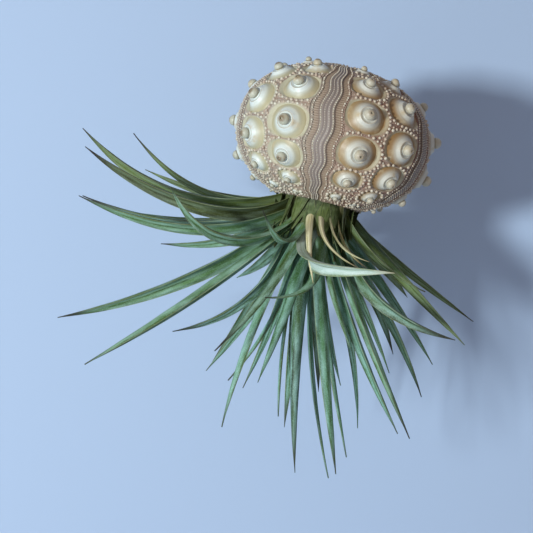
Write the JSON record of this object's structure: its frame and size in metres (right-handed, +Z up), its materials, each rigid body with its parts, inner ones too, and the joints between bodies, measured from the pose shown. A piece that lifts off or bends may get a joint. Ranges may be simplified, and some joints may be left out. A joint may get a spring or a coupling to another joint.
{
  "type": "air plant holder",
  "caption": "Dried urchin shell hung by its crown hole, holding a removable air plant that grows down out of its mouth.",
  "frame": {"origin": "centre of the hanging hole in the crown, at half the crown ring's thickness", "axes": "+Z up along the shell's axis, out of the hanging hole; -Y towards the viewer; +X to the viewer's right"},
  "size_m": [0.1486, 0.1217, 0.1368],
  "materials": {
    "knob_plates": "chalky, ivory with ochre dishes",
    "band_plates": "chalky, mauve grey with white beads",
    "crown_plates": "chalky ivory",
    "leaf_bases": "matte, olive and tan",
    "roots": "dry and dark",
    "dry_leaves": "dry straw",
    "old_leaves": "matte olive green",
    "mid_leaves": "frosted grey green",
    "young_leaves": "frosted blue green"
  },
  "bodies": {
    "shell": {"crown_ring": "crown_plates", "knob_row_1": "knob_plates", "knob_row_2": "knob_plates", "knob_row_3": "knob_plates", "knob_row_4": "knob_plates", "knob_row_5": "knob_plates", "winding_band_1": "band_plates", "winding_band_2": "band_plates", "winding_band_3": "band_plates", "winding_band_4": "band_plates", "winding_band_5": "band_plates"},
    "air_plant": {"dry_leaves": "dry_leaves", "heart_leaves": "young_leaves", "leaf_base_bulb": "leaf_bases", "leaf_fourth_01": "young_leaves", "leaf_fourth_02": "young_leaves", "leaf_fourth_03": "young_leaves", "leaf_fourth_04": "young_leaves", "leaf_fourth_05": "young_leaves", "leaf_fourth_06": "young_leaves", "leaf_fourth_07": "young_leaves", "leaf_fourth_08": "young_leaves", "leaf_heart_01": "young_leaves", "leaf_heart_02": "young_leaves", "leaf_heart_03": "young_leaves", "leaf_heart_04": "young_leaves", "leaf_outer_01": "old_leaves", "leaf_outer_02": "old_leaves", "leaf_outer_03": "old_leaves", "leaf_outer_04": "old_leaves", "leaf_outer_05": "old_leaves", "leaf_outer_06": "old_leaves", "leaf_outer_07": "old_leaves", "leaf_outer_08": "old_leaves", "leaf_outer_09": "old_leaves", "leaf_outer_10": "old_leaves", "leaf_second_01": "mid_leaves", "leaf_second_02": "mid_leaves", "leaf_second_03": "mid_leaves", "leaf_second_04": "mid_leaves", "leaf_second_05": "mid_leaves", "leaf_second_06": "mid_leaves", "leaf_second_07": "mid_leaves", "leaf_second_08": "mid_leaves", "leaf_second_09": "mid_leaves", "leaf_second_10": "mid_leaves", "leaf_second_11": "mid_leaves", "leaf_second_12": "mid_leaves", "leaf_third_01": "mid_leaves", "leaf_third_02": "mid_leaves", "leaf_third_03": "mid_leaves", "leaf_third_04": "mid_leaves", "leaf_third_05": "mid_leaves", "leaf_third_06": "mid_leaves", "leaf_third_07": "mid_leaves", "leaf_third_08": "mid_leaves", "leaf_third_09": "mid_leaves", "leaf_third_10": "mid_leaves", "leaf_third_11": "mid_leaves", "roots": "roots"}
  },
  "joints": [
    {"name": "plant_pull_out", "type": "slide", "parent": "shell", "child": "air_plant", "axis": [0, 0, -1], "range_m": [0, 0.03]}
  ]
}
